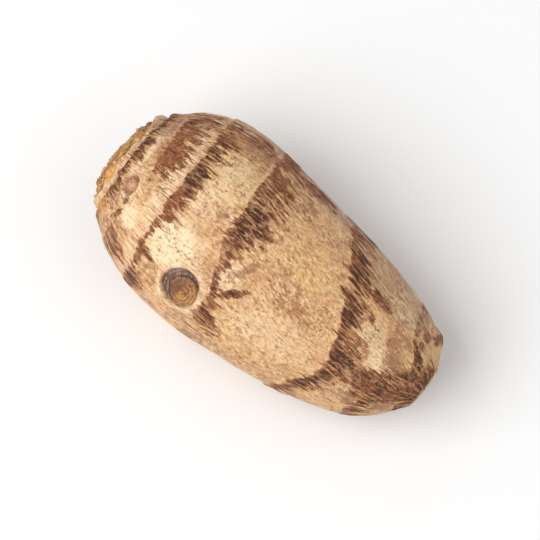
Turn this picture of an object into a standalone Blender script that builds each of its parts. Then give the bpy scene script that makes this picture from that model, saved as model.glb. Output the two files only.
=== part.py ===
"""A small taro corm, lying on its side.

A corm is the swollen underground stem of the taro plant. It grows as one piece, so it is one
object here: a blunt egg, fattest a third of the way along, with a wide crown where the leaves
stood (at -X) and a narrower base where it broke from its mother corm (at +X). It lies on a
small flat under its centre of mass. Metres, +Z up, with the origin on the floor in the middle
of the box that the corm fills.
"""
import math

import bmesh
import bpy
from mathutils import Matrix, Vector

# Driving dimensions
LENGTH = 0.110  # crown to base
WIDTH = 0.058  # side to side at the fattest place
HEIGHT = 0.056  # it is a little flatter than it is wide
WIDEST_AT = 0.345  # share of the length, measured from the crown
CROWN_ROUNDNESS = 2.2  # superellipse exponent of the crown half: 2 is an ellipse, more is blunter
BASE_ROUNDNESS = 3.0
BASE_TAPER = 0.207  # share of the radius that the base half loses on its way to the tip
TAPER_START = 0.08  # the taper eases in over this share of the base half
REST_TILT = 6.6  # degrees that the crown is lifted, because the narrow base dips
REST_DEPTH = 0.0008  # depth of the flat that the corm rests on

# Slow waves round and along the corm that keep it from being a turned shape:
# (share of the radius, waves round, waves along, start in degrees)
SWELLS = (
    (0.010, 2, 0.5, 20.0),
    (0.006, 3, 1.0, 75.0),
    (0.004, 4, 1.5, 160.0),
)
# The middle line bows sideways a little: (metres, waves along, start in degrees)
BOW = (0.0007, 1.0, 60.0)

# Buds and scars that stand up from the skin:
# (share of the length, degrees round from the top towards -Y, radius, height)
BUDS = (
    (0.356, 54.0, 0.0070, 0.0007),
    (0.560, 215.0, 0.0065, 0.0007),
    (0.947, -63.0, 0.0050, 0.0012),
)

RINGS_ALONG = 48
SEGMENTS_ROUND = 64


def plump(share):
    """Radius at this share of the length, as a share of the largest radius."""
    if share < WIDEST_AT:
        towards_crown = (WIDEST_AT - share) / WIDEST_AT
        left = max(0.0, 1.0 - towards_crown**CROWN_ROUNDNESS)
        return left ** (1.0 / CROWN_ROUNDNESS)
    towards_base = (share - WIDEST_AT) / (1.0 - WIDEST_AT)
    left = max(0.0, 1.0 - towards_base**BASE_ROUNDNESS)
    taper = 1.0 - BASE_TAPER * towards_base * (1.0 - math.exp(-towards_base / TAPER_START))
    return left ** (1.0 / BASE_ROUNDNESS) * taper


def swelling(share, angle):
    """The slow waves at this place, as a factor near 1."""
    return 1.0 + sum(
        depth * math.cos(round_waves * angle + math.tau * along_waves * share + math.radians(start))
        for depth, round_waves, along_waves, start in SWELLS
    )


def skin_point(share, angle):
    """A point of the skin before the corm is laid down: the long axis is X, crown at zero.

    The angle is measured round the axis, from the top towards -Y.
    """
    radius = plump(share) * swelling(share, angle)
    depth, waves, start = BOW
    bow = depth * math.sin(math.tau * waves * share + math.radians(start))
    return Vector((
        LENGTH * share,
        bow - WIDTH / 2 * radius * math.sin(angle),
        HEIGHT / 2 * radius * math.cos(angle),
    ))


def egg():
    """A sphere whose rows are moved to the corm's sections, packed closer at the two ends."""
    mesh = bmesh.new()
    bmesh.ops.create_uvsphere(
        mesh, u_segments=SEGMENTS_ROUND, v_segments=RINGS_ALONG, radius=1.0
    )
    for vertex in mesh.verts:
        share = (1.0 - vertex.co.z) / 2
        angle = math.atan2(vertex.co.y, vertex.co.x)
        vertex.co = skin_point(share, angle)
    bmesh.ops.recalc_face_normals(mesh, faces=mesh.faces)
    return mesh


def raise_buds(mesh):
    """Push the skin out round each bud, most at its middle and not at all at its edge."""
    for share, degrees_round, radius, height in BUDS:
        mesh.normal_update()
        middle = skin_point(share, math.radians(degrees_round))
        for vertex in mesh.verts:
            near = (vertex.co - middle).length / radius
            if near < 1.0:
                vertex.co += vertex.normal * height * (1.0 - near**2) ** 2


def lay_down(mesh):
    """Lift the crown by the resting tilt, cut the resting flat, and centre the box on the origin."""
    tilt = Matrix.Rotation(math.radians(REST_TILT), 4, "Y")
    bmesh.ops.transform(mesh, matrix=tilt, verts=mesh.verts)
    floor = min(vertex.co.z for vertex in mesh.verts) + REST_DEPTH
    bmesh.ops.bisect_plane(
        mesh,
        geom=mesh.verts[:] + mesh.edges[:] + mesh.faces[:],
        dist=1e-6,
        plane_co=(0.0, 0.0, floor),
        plane_no=(0.0, 0.0, -1.0),
        clear_outer=True,
    )
    rim = [edge for edge in mesh.edges if edge.is_boundary]
    bmesh.ops.contextual_create(mesh, geom=rim)
    across = [vertex.co.x for vertex in mesh.verts]
    aside = [vertex.co.y for vertex in mesh.verts]
    middle = ((min(across) + max(across)) / 2, (min(aside) + max(aside)) / 2)
    bmesh.ops.translate(mesh, vec=(-middle[0], -middle[1], -floor), verts=mesh.verts)
    bmesh.ops.recalc_face_normals(mesh, faces=mesh.faces)


def skin_material():
    """Dry, matt, buff-coloured skin."""
    material = bpy.data.materials.new("taro_skin")
    material.use_nodes = True
    shader = material.node_tree.nodes["Principled BSDF"]
    shader.inputs["Base Color"].default_value = (0.60, 0.39, 0.21, 1.0)
    shader.inputs["Roughness"].default_value = 0.7
    shader.inputs["Metallic"].default_value = 0.0
    return material


def main():
    for existing in list(bpy.data.objects):
        bpy.data.objects.remove(existing, do_unlink=True)
    collection = bpy.data.collections.new("taro_corm")
    bpy.context.scene.collection.children.link(collection)

    shape = egg()
    raise_buds(shape)
    lay_down(shape)
    data = bpy.data.meshes.new("taro_corm")
    shape.to_mesh(data)
    shape.free()
    data.shade_smooth()
    data.set_sharp_from_angle(angle=math.radians(40.0))
    data.materials.append(skin_material())
    collection.objects.link(bpy.data.objects.new("taro_corm", data))


main()
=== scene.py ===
# %% [markdown]
# # A taro corm
#
# A taro corm is the swollen underground stem of the taro plant. This one is a small side corm,
# about as long as a hand is wide. Its skin is buff and cream, with ragged brown bands: each band
# is what is left of a leaf that once wrapped right round the stem. The file makes that skin as
# one fine surface over the plain solid that carries the weight, then the buds, the torn crown,
# the corky base scar and the dry fibres, and at the end a plain floor, soft light and a camera.

# %% Load the frame
import math
from types import SimpleNamespace

import bpy
import numpy as np
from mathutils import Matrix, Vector


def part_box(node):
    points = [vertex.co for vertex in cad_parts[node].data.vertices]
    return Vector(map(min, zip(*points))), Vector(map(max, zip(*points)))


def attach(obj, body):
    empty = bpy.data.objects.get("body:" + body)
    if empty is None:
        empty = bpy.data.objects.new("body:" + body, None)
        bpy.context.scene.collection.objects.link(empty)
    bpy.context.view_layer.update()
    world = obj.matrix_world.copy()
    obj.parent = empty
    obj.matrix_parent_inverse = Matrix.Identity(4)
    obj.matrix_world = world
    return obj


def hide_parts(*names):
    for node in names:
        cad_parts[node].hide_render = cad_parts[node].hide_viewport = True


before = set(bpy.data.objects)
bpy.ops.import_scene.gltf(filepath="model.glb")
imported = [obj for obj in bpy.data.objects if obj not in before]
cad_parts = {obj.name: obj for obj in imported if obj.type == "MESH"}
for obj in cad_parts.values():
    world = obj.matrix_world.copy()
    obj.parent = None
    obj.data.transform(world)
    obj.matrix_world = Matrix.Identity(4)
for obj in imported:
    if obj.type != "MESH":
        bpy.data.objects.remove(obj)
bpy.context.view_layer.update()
low, high = (np.array(corner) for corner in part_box("taro_corm"))
print("solid, mm:", np.round((high - low) * 1000, 1))

# %% [markdown]
# ## The egg under the skin
#
# The solid is a blunt egg that lies on its side: fattest a third of the way along, with a wide
# crown at -X and a narrow base at +X. It could be sculpted, but a formula keeps the skin exactly
# on the solid that the weight and the contact come from, so the same few sizes are used here.
# Lengths are in millimetres until the mesh is made, because skin detail is easiest to think of
# in millimetres. Angles go round the long axis from the top towards -Y.

# %% The sizes of the egg
LENGTH = 110.0
WIDTH = 58.0
HEIGHT = 56.0
WIDEST_AT = 0.345
CROWN_ROUNDNESS = 2.2
BASE_ROUNDNESS = 3.0
BASE_TAPER = 0.207
TAPER_START = 0.08
REST_TILT = math.radians(6.6)
REST_DEPTH = 0.8
SWELLS = (
    # share of the radius, waves round, waves along, start in degrees
    (0.010, 2, 0.5, 20.0),
    (0.006, 3, 1.0, 75.0),
    (0.004, 4, 1.5, 160.0),
)
BOW = (0.7, 1.0, 60.0)  # mm sideways, waves along, start in degrees
SHOW_LINE = 13.7  # degrees round: the middle of the side that is shown


def plump(share):
    """Radius as a share of the largest.

    Towards the crown it is a superellipse, and towards the base a blunter one that tapers.
    """
    to_crown = np.clip((WIDEST_AT - share) / WIDEST_AT, 0, 1)
    to_base = np.clip((share - WIDEST_AT) / (1 - WIDEST_AT), 0, 1)
    crown = (1 - to_crown**CROWN_ROUNDNESS) ** (1 / CROWN_ROUNDNESS)
    taper = 1 - BASE_TAPER * to_base * (1 - np.exp(-to_base / TAPER_START))
    base = (1 - to_base**BASE_ROUNDNESS) ** (1 / BASE_ROUNDNESS) * taper
    return np.where(share < WIDEST_AT, crown, base)


def egg_point(share, angle):
    """A point of the egg, which lies along X with its crown at zero.

    The radius above is multiplied by slow waves, and the middle line bows a little sideways.
    """
    waves = sum(
        depth * np.cos(turns * angle + math.tau * along * share + math.radians(start))
        for depth, turns, along, start in SWELLS
    )
    radius = plump(share) * (1 + waves)
    bow = BOW[0] * np.sin(math.tau * BOW[1] * share + math.radians(BOW[2]))
    return np.stack([
        LENGTH * share + 0 * angle,
        bow - WIDTH / 2 * radius * np.sin(angle),
        HEIGHT / 2 * radius * np.cos(angle),
    ], axis=-1)


# %% [markdown]
# ## The grid of the skin
#
# The skin is one grid: rows from the crown to the base, and a seam-free round of columns. The
# rows crowd together at the two ends, where the egg turns over, so the little faces stay about
# half a millimetre each way. A fan of triangles closes each end.

# %% The grid
ROWS = 318
COLUMNS = 312
turn = (np.arange(1, ROWS + 1) / (ROWS + 1)) * math.pi
share = ((1 - np.cos(turn)) / 2)[:, None]
angle = (np.arange(COLUMNS) / COLUMNS * math.tau)[None, :]
degrees = (np.degrees(angle) - SHOW_LINE + 180) % 360 - 180  # from the line that is shown
egg = egg_point(share, angle)
middle_line = np.stack([LENGTH * share[:, 0], WIDTH / 2 * plump(share[:, 0])], axis=-1)
steps = np.linalg.norm(np.diff(middle_line, axis=0, prepend=[[0.0, 0.0]]), axis=1)
arc = np.cumsum(steps)[:, None]  # distance over the skin from the crown, mm
print("grid", egg.shape[:2], "- skin from crown to base, mm:", round(float(arc[-1, 0]), 1))


def normals_of(points):
    """Directions across a grid whose columns close round: the cross product of its tangents."""
    along = np.gradient(points, axis=0)
    around = (np.roll(points, -1, axis=1) - np.roll(points, 1, axis=1)) / 2
    normal = np.cross(around, along)
    return normal / np.linalg.norm(normal, axis=-1, keepdims=True)


outward = normals_of(egg)
if (outward[ROWS // 2, :, 2] * np.cos(angle[0])).sum() < 0:
    outward = -outward

# %% [markdown]
# ## Noise that is the same every time
#
# Nothing on a corm is regular, so most of what follows is steered by noise. Blender has noise
# textures, but the shape needs it as numbers. This is gradient noise: every corner of a unit
# lattice gets a fixed random direction, and a point blends what its eight corners say. Sampled
# on the egg at equal scales it gives lumps. Sampled with the long way squeezed it gives streaks
# that run from crown to base, as the fibres of the skin do. The last number given to either is
# the layer: features that shouldn't look alike have unlike layers.

# %% Noise
LATTICE = 256  # corners before the noise repeats
NOISE_GAIN = 1.6  # brings the noise to about -1 to 1
rng = np.random.default_rng(20260)
DIRECTIONS = rng.normal(size=(LATTICE, 3))
DIRECTIONS /= np.linalg.norm(DIRECTIONS, axis=1, keepdims=True)
SHUFFLE = rng.permutation(LATTICE)


def noise(points, layer=0):
    """Gradient noise at points in lattice units. Each layer has a pattern of its own."""
    cell = np.floor(points).astype(np.int64)
    inside = points - cell
    ease = inside**3 * (inside * (inside * 6 - 15) + 10)
    total = 0.0
    for corner in np.ndindex(2, 2, 2):
        at = cell + corner
        pick = SHUFFLE[(at[..., 0] + 17 * layer) % LATTICE]
        pick = SHUFFLE[(pick + at[..., 1]) % LATTICE]
        pick = SHUFFLE[(pick + at[..., 2]) % LATTICE]
        lean = (DIRECTIONS[pick] * (inside - corner)).sum(axis=-1)
        weight = np.prod(np.where(corner, ease, 1 - ease), axis=-1)
        total = total + lean * weight
    return total * NOISE_GAIN


GRAIN_RADIUS = 28.5  # mm: streaks are drawn on a cylinder as thick as the middle of the corm
GRAIN_TWIST = math.radians(0.45)  # per mm: towards the base the fibres run in a slow spiral
TWIST_START = 68.0  # mm from the crown
TWIST_EASE = 6.0  # mm over which the twist sets in
twisting = np.logaddexp(0, (arc - TWIST_START) / TWIST_EASE) * TWIST_EASE
grain_angle = angle - GRAIN_TWIST * twisting
grain = np.stack(np.broadcast_arrays(
    GRAIN_RADIUS * np.cos(grain_angle), GRAIN_RADIUS * np.sin(grain_angle), arc
), axis=-1)


def lumps(size, layer):
    """Noise whose lumps are this many millimetres across, whichever way one goes."""
    return noise(egg / size, layer)


def streaks(width, length, layer):
    """Noise that is drawn out along the corm: millimetres across and millimetres long."""
    return noise(grain / (width, width, length), layer)


def rise(value, start, end):
    """0 below start, 1 above end, and an eased slope between."""
    t = np.clip((value - start) / (end - start), 0, 1)
    return t * t * (3 - 2 * t)


def bell(value, middle, width):
    """1 where value is at the middle, falling away smoothly on both sides of it."""
    return np.exp(-(((value - middle) / width) ** 2))


sample = lumps(6.0, 0)
print("noise runs from", round(float(sample.min()), 2), "to", round(float(sample.max()), 2))

# %% [markdown]
# ## Leaf-scar rings
#
# Each leaf of the plant wrapped right round the stem, and left a ring where it stood. Near the
# crown the rings are close, and towards the base they lie far apart and slant. Each keeps rags
# of brown bark that start at a clean line and fray out towards the base. A ring is given by a
# few pairs: its share of the length at some places round, and how much bark it has
# kept at some places round. A closed curve is drawn through the pairs and its quick waves are
# dropped, which rounds its corners. The bark of the two rings nearest the base spreads over most
# of that end.

# %% The rings
RINGS = (
    # Each pair starts with degrees round. line: share of the length. bark: how much is left.
    # dark: how thick and dark it is. fray: length of the rags, mm. Then step is the height of
    # the ledge, mm, and comb is how clearly fine pale ribs show above the line.
    dict(
        line=((-90, 0.053), (0, 0.054), (90, 0.058), (180, 0.052)),
        bark=((-90, 0.9), (-50, 1.3), (-20, 1.5), (20, 1.3), (60, 0.8), (120, 0.8), (180, 0.9)),
        dark=((-60, 0.6), (0, 0.7), (60, 0.6), (180, 0.6)),
        fray=((0, 4.0), (180, 4.4)), step=0.35, comb=0.0,
    ),
    dict(
        line=((-70, 0.098), (-20, 0.112), (5, 0.116), (30, 0.110), (60, 0.108), (120, 0.104),
              (180, 0.100)),
        bark=((-90, 0.5), (-64, 0.6), (-46, 0.8), (-36, 0.9), (-14, 0.88), (-4, 0.62), (12, 0.0),
              (38, 0.0), (50, 0.8), (66, 0.75), (85, 0.3), (120, 0.8), (180, 0.9), (240, 0.7)),
        dark=((-60, 0.35), (-30, 0.25), (0, 0.15), (40, 0.4), (60, 0.55), (120, 0.5), (200, 0.4)),
        fray=((-60, 13.0), (-40, 12.0), (-10, 11.0), (30, 9.0), (60, 12.0), (180, 12.0)),
        step=0.15, comb=0.0,
    ),
    dict(
        line=((-90, 0.188), (-40, 0.198), (0, 0.204), (25, 0.206), (60, 0.213), (120, 0.200),
              (180, 0.194)),
        bark=((-90, 0.4), (-62, 0.8), (-45, 1.0), (-12, 1.1), (4, 0.95), (14, 0.9), (24, 0.85),
              (34, 1.1), (44, 1.0), (52, 0.4), (60, 1.0), (72, 1.0), (90, 0.5), (130, 0.9),
              (180, 0.7), (235, 0.6)),
        dark=((-60, 0.7), (-40, 0.95), (-12, 0.95), (0, 0.3), (20, 0.1), (38, 0.35), (64, 0.7),
              (130, 0.6), (220, 0.5)),
        fray=((-40, 8.5), (2, 7.5), (18, 3.0), (44, 3.2), (62, 7.0), (180, 8.5)),
        step=0.2, comb=1.0,
    ),
    dict(
        line=((-90, 0.345), (-45, 0.355), (-2, 0.369), (14, 0.394), (30, 0.428), (60, 0.418),
              (110, 0.385), (180, 0.355), (230, 0.340)),
        bark=((-90, 0.8), (-62, 0.8), (-44, 0.75), (-32, 0.92), (-8, 0.96), (4, 0.80),
              (12, 0.6), (20, 0.95), (30, 0.95), (48, 0.75), (60, 0.5), (82, 0.35), (120, 0.7),
              (170, 0.95), (225, 0.9)),
        dark=((-90, 0.35), (-50, 0.3), (-32, 0.8), (-5, 0.9), (14, 0.4), (34, 0.5), (120, 0.6),
              (180, 0.8), (240, 0.5)),
        fray=((-60, 17.0), (4, 15.0), (12, 6.0), (20, 3.6), (28, 4.0), (36, 9.0), (60, 15.0),
              (180, 17.0)),
        step=0.14, comb=0.0,
    ),
    dict(
        line=((-90, 0.560), (-58, 0.615), (-35, 0.668), (-7, 0.724), (7, 0.742), (22, 0.768),
              (38, 0.754), (57, 0.716), (78, 0.675), (120, 0.640), (180, 0.590), (225, 0.560)),
        bark=((-90, 0.6), (-60, 0.9), (-46, 1.0), (-36, 0.65), (-26, 0.35), (-17, 0.9),
              (-2, 1.1), (14, 1.12), (34, 1.1), (46, 1.1), (62, 1.0), (78, 0.85), (110, 0.6),
              (150, 0.9), (200, 0.8), (235, 0.7)),
        dark=((-60, 0.6), (-15, 0.75), (20, 0.8), (60, 0.7), (150, 0.7), (220, 0.5)),
        fray=((-60, 15.0), (-20, 15.0), (5, 17.0), (24, 17.0), (42, 9.0), (80, 8.0), (180, 15.0)),
        step=0.14, comb=0.0,
    ),
    dict(
        line=((-90, 0.855), (-60, 0.866), (-37, 0.892), (-14, 0.944), (-3, 0.948), (6, 0.906),
              (22, 0.890), (40, 0.876), (80, 0.865), (130, 0.860), (180, 0.850), (230, 0.850)),
        bark=((-90, 0.6), (-60, 0.6), (-37, 0.75), (-12, 1.2), (8, 1.15), (30, 1.1), (60, 0.95),
              (80, 0.8), (130, 0.9), (190, 0.8), (240, 0.6)),
        dark=((-60, 0.6), (-10, 0.9), (30, 0.9), (70, 0.6), (180, 0.6)),
        fray=((0, 11.0),), step=0.12, comb=0.8,
    ),
)


def round_the_corm(pairs, softness=14.0):
    """A closed smooth curve through (degrees, value) pairs.

    Straight lines join them, then the waves quicker than about softness times round fade out.
    """
    where, value = np.array(sorted((d % 360, v) for d, v in pairs)).T
    plain = np.interp(degrees[0] % 360, where, value, period=360)
    waves = np.fft.rfft(plain)
    fade = np.exp(-((np.arange(len(waves)) / softness) ** 2))
    return np.fft.irfft(waves * fade, COLUMNS)[None, :]


def ring_fields():
    """All the rings together: bark left, its darkness, ledges, pale lips and the ribbed strips."""
    bark, dark, ledge, lip, comb = np.zeros((5, ROWS, COLUMNS))
    along = LENGTH * share
    for number, ring in enumerate(RINGS):
        line = round_the_corm(ring["line"]) * LENGTH
        line = line + 0.6 * streaks(5.0, 400.0, 20 + number)
        line = line + 0.35 * streaks(1.6, 400.0, 40 + number)
        past = (along - line) / np.gradient(along, axis=0)
        past = past * np.gradient(arc, axis=0)  # mm over the skin, towards the base
        left = round_the_corm(ring["bark"], 24.0)
        fray = round_the_corm(ring["fray"], 24.0)
        fray = np.maximum(fray * (0.85 + 0.45 * streaks(2.6, 30.0, 60 + number)), 0.8)
        start = 0.5 + 0.8 * streaks(1.5, 400.0, 70 + number)
        cover = rise(past, start - 1.0, start + 0.3) * (1 - rise(past, 0.2 * fray, 1.25 * fray))
        cover = cover * left * (1 + 0.35 * lumps(6.5, 190 + number))
        darker = round_the_corm(ring["dark"], 20.0) * (0.45 + 0.55 * bell(past / fray, 0.36, 0.30))
        dark = np.where(cover > bark, darker, dark)
        bark = np.maximum(bark, cover)
        worn = np.clip(0.7 + 0.9 * streaks(5.0, 60.0, 50 + number), 0.1, 1.3)
        ledge += ring["step"] * worn * (
            rise(past, -0.7, 0.5) * np.exp(-np.maximum(past, 0) / 3.5)
            - 0.5 * bell(past, -1.0, 0.7)
        )
        shown = rise(streaks(6.0, 60.0, 75 + number), -0.2, 0.5)
        lip = np.maximum(lip, shown * bell(past, -0.45, 0.5))
        strip = rise(past, -5.5, -3.0) * rise(-past, 0.3, 1.2)
        comb = np.maximum(comb, ring["comb"] * strip)
    return bark, dark, ledge, lip, comb


ring_bark, ring_dark, ring_ledge, lip, comb = ring_fields()
print("rings:", len(RINGS), "- skin under ring bark:", f"{(ring_bark > 0.5).mean():.0%}")

# %% [markdown]
# ## The crown's collars
#
# Close to the crown the leaves have left more than a line. The torn foot of each one stands up
# as a low papery collar, and the collars sit one inside the other round the bud that would have
# grown on. Every collar is a step that faces the crown, highest at its free edge, and its
# edge is notched where the leaf tore.

# %% The collars
COLLARS = (
    # mm out from the crown, mm high
    (3.4, 0.6), (6.6, 1.0), (9.5, 1.2), (12.0, 0.8), (14.2, 1.5), (16.3, 1.0), (19.3, 0.6),
)


def collar_fields():
    """The height of the collars, their free edges for a painted highlight, and the grooves in front of
    those for painted shade.
    """
    height, edge, groove = np.zeros((3, ROWS, COLUMNS))
    for number, (out, tall) in enumerate(COLLARS):
        slow, quick = streaks(17.0, 500.0, 160 + number), streaks(4.0, 500.0, 170 + number)
        past = arc - (out + 1.4 * slow + 0.35 * quick)
        notches = streaks(9.0, 500.0, 180 + number) + 0.5 * streaks(2.2, 12.0, 190 + number)
        torn = np.clip(0.9 + notches, 0.1, 1.3)
        height += tall * torn * rise(past, -0.35, 0.25) * np.exp(-np.maximum(past, 0) / 1.3)
        # A pale painted highlight on the free edge of each collar.
        edge = np.maximum(edge, torn * bell(past, 0.30, 0.50))
        # Painted shade in the sunk groove in front of each free edge.
        groove = np.maximum(groove, np.sqrt(torn) * bell(past, -0.95, 0.75))
    bud = np.clip(1 - arc / COLLARS[0][0], 0, 1)
    return height - 0.4 * groove + 1.3 * bud**1.4, edge, groove


collar_height, collar_edge_highlight, collar_groove_shade = collar_fields()
sheath = 1 - rise(arc + 1.2 * lumps(5.0, 150), 14.2, 16.6)
print("collars:", len(COLLARS), "- highest, mm:", round(float(collar_height.max()), 2))

# %% [markdown]
# ## Blotches between the rings
#
# Between the bands the outer bark has mostly rubbed away, and leaves blotches: dark rags, thin
# tan stains, and pale places where even the thin skin is rubbed. Each is a soft oval at a place
# on the skin, stretched along the corm, and noise tears its edge. The ones on the side that is
# shown are listed one by one. The rest are strewn by a seeded draw.

# %% Ovals on the skin


def oval(at, around, length, width, slant=0.0):
    """1 in the middle of an oval on the skin, 0 at its edge, and below 0 outside."""
    step_along = arc - np.interp(at, share[:, 0], arc[:, 0])
    step_round = np.radians((degrees - around + 180) % 360 - 180) * WIDTH / 2 * plump(share)
    c, s = math.cos(math.radians(slant)), math.sin(math.radians(slant))
    p = (c * step_along + s * step_round) / (length / 2)
    q = (c * step_round - s * step_along) / (width / 2)
    return 1 - np.hypot(p, q)


def strewn(count, seed, lengths, widths, strengths):
    """Ovals at random places on the side that is turned away, given as in the tables below."""
    draw = np.random.default_rng(seed)
    for _ in range(count):
        yield (
            draw.uniform(0.06, 0.95), draw.uniform(95, 265), draw.uniform(*lengths),
            draw.uniform(*widths), draw.uniform(-15, 15), draw.uniform(*strengths),
        )


# (share, degrees round, length mm, width mm, slant, strength)
RAGS = (
    (0.477, 22, 12.5, 3.0, -44, 1.2),
    (0.440, 46, 8.0, 4.0, -30, 1.0),
    (0.778, -37, 12.0, 5.0, 4, 0.8),
    (0.700, -36, 14.0, 2.4, 5, 1.0),
    (0.700, -22, 7.0, 2.4, 15, 1.0),
    (0.855, 22, 10.0, 8.0, 10, 1.0),
    (0.885, 34, 9.0, 9.0, 0, 1.0),
    (0.235, 66, 6.0, 8.0, 0, 0.9),
    (0.240, 38, 9.0, 2.6, 25, 1.0),
    (0.155, 57, 5.0, 6.0, 0, 0.8),
    (0.945, 30, 8.0, 9.0, 0, 1.0),
    (0.985, 4, 10.0, 18.0, 0, 1.2),
    (0.905, 10, 8.0, 7.0, 0, 0.75),
    (0.985, 60, 5.0, 9.0, 0, 1.0),
    (0.945, -74, 6.0, 7.0, 0, 0.7),
    (0.960, 8, 7.0, 12.0, 0, 1.0),
    (0.108, 40, 2.0, 10.0, 20, 0.9),
    (0.130, 52, 5.0, 3.0, 20, 1.0),
    (0.112, 22, 2.0, 6.0, -10, 0.8),
    (0.285, -66, 12.0, 10.0, 0, 0.75),
    (0.150, -62, 8.0, 9.0, 0, 0.7),
    (0.480, -72, 16.0, 12.0, 0, 0.8),
    (0.640, -82, 12.0, 12.0, 0, 0.8),
)
STAINS = (
    (0.135, -22, 12.0, 18.0, 0, 1.0),
    (0.275, -58, 24.0, 18.0, 0, 1.0),
    (0.270, 48, 12.0, 9.0, 0, 0.8),
    (0.170, -64, 10.0, 14.0, 0, 0.9),
    (0.080, -55, 14.0, 20.0, 0, 1.0),
    (0.850, 50, 20.0, 20.0, 0, 0.45),
    (0.472, 5, 2.6, 10.5, 23, 1.5),
    (0.895, -58, 12.0, 14.0, 0, 0.6),
    (0.930, 25, 16.0, 24.0, 0, 1.0),
    (0.690, 72, 20.0, 8.0, 0, 0.6),
    (0.608, 5, 13.0, 10.0, 0, 0.8),
    (0.330, -10, 5.0, 5.0, 0, 1.0),
    (0.886, -14, 10.0, 22.0, -25, 1.0),
    (0.310, -66, 22.0, 12.0, 0, 0.8),
    (0.140, -66, 14.0, 14.0, 0, 0.8),
    (0.455, -50, 18.0, 12.0, 0, 0.8),
    (0.410, 66, 20.0, 9.0, 0, 0.5),
    (0.560, 70, 26.0, 10.0, 0, 0.5),
    (0.215, 40, 9.0, 6.0, 30, 0.7),
    (0.860, 46, 9.0, 12.0, 0, 0.8),
    (0.080, 45, 6.0, 22.0, 0, 0.6),
    (0.440, 14, 12.0, 8.0, 0, 0.5),
    (0.820, -10, 8.0, 6.0, 20, 0.5),
)
PALES = (
    (0.280, 22, 19.0, 19.0, 0, 1.0),
    (0.445, 14, 8.0, 9.0, 0, 0.8),
    (0.145, 30, 9.0, 9.0, 0, 0.9),
    (0.178, -10, 5.0, 40.0, 0, 0.7),
    (0.810, -6, 12.0, 12.0, 0, 0.6),
    (0.862, 3, 7.0, 11.0, 0, 0.8),
    (0.083, -16, 2.6, 30.0, 0, 0.8),
    (0.043, -5, 3.6, 64.0, 0, 0.45),
    (0.600, 32, 30.0, 16.0, 0, 0.4),
    (0.860, -45, 12.0, 9.0, 0, 0.5),
    (0.300, -30, 14.0, 16.0, 0, 0.5),
    (0.285, -13, 15.0, 14.0, 0, 0.6),
)
YELLOWS = (
    (0.305, -28, 17.0, 22.0, 0, 1.0),
    (0.590, -22, 26.0, 18.0, 0, 0.9),
    (0.560, 45, 34.0, 18.0, 0, 0.7),
    (0.820, 62, 14.0, 9.0, 0, 0.6),
    (0.910, -24, 5.0, 18.0, -38, 1.2),
    (0.860, 70, 34.0, 10.0, 0, 0.9),
)
# Grey ovals. The listed ones from -62 to -86 degrees lie along the side away from the key lamp and are
# painted shade; the one at 46 degrees and the strewn ones are grey blotches.
GREY_AND_SHADE_OVALS = (
    (0.560, -84, 75.0, 20.0, 0, 0.8),
    (0.780, -62, 34.0, 22.0, 0, 0.8),
    (0.330, -86, 40.0, 16.0, 0, 0.7),
    (0.845, 46, 7.0, 7.0, 0, 0.9),
)


def gather(ovals, ragged, layer):
    """The strongest of several ovals at each point, their edges torn by streaks and lumps."""
    torn = ragged * (0.6 * streaks(1.5, 8.0, layer) + 0.6 * lumps(3.2, layer + 1))
    field = np.zeros((ROWS, COLUMNS))
    for at, around, length, width, slant, strength in ovals:
        inside = oval(at, around, length, width, slant)
        field = np.maximum(field, strength * rise(inside + torn, -0.25, 0.55))
    return field


rags = gather((*RAGS, *strewn(34, 5, (5, 18), (3, 10), (0.5, 0.95))), 0.42, 80)
stains = gather((*STAINS, *strewn(16, 6, (8, 24), (8, 18), (0.4, 0.9))), 0.35, 84)
pale = gather((*PALES, *strewn(12, 7, (8, 20), (8, 18), (0.3, 0.9))), 0.3, 88)
yellow = gather((*YELLOWS, *strewn(10, 8, (12, 30), (10, 20), (0.4, 1.0))), 0.3, 92)
grey_and_shade = gather((*GREY_AND_SHADE_OVALS, *strewn(6, 9, (20, 40), (14, 24), (0.4, 0.8))), 0.3, 98)
bark = np.maximum(ring_bark, rags)
dark = np.where(rags > ring_bark, 0.45 + 0.35 * lumps(9.0, 96), ring_dark)
for name, field in (("bark", bark), ("stains", stains), ("pale", pale)):
    print(name, f"{(field > 0.45).mean():.0%} of the skin")

# %% [markdown]
# ## Buds and scars
#
# A bud sits above some of the rings: a round scar with a raised rim, a hollow beside it and a
# low dome of corky rings. One stands out at the side of the base end as a nub, and the base
# itself is the corky disc where the corm broke from its mother. Each could be a mesh of its own,
# but on the real corm the skin runs over it without a seam. So it is a height added to the skin,
# which depends on the distance from its middle.

# %% Buds
BUDS = (
    # share, degrees round, radius mm, dome's height mm, hollow's depth mm, how ripe and dark
    (0.356, 40.5, 5.9, 0.9, 0.9, 1.0),
    (0.097, 13.0, 2.9, 0.60, 0.50, 0.25),
    (0.560, 201.0, 5.4, 0.7, 0.6, 0.9),
    (0.225, -112.0, 4.4, 0.6, 0.5, 0.8),
    (0.750, 137.0, 4.2, 0.6, 0.5, 0.8),
)
NUB = (0.947, -77.0, 4.4, 1.2)  # share, degrees round, radius mm, height mm
DOME_SHARE = 0.74  # the dome's radius as a share of the bud's
DOME_ASIDE = 0.27  # share of the radius by which a ripe dome is off the middle, to the base side
BUD_GIRTH = 1.16  # a bud is this much wider round the corm than along it
FAR = 99.0  # mm, for the whorl away from every dome


def distance_from(at, around, girth=1.0):
    """Distance in mm from a place on the skin, with what goes round the corm divided by girth."""
    middle = egg_point(np.array(at), np.radians(around + SHOW_LINE))
    return np.linalg.norm((egg - middle) / (1.0, girth, girth), axis=-1)


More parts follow.
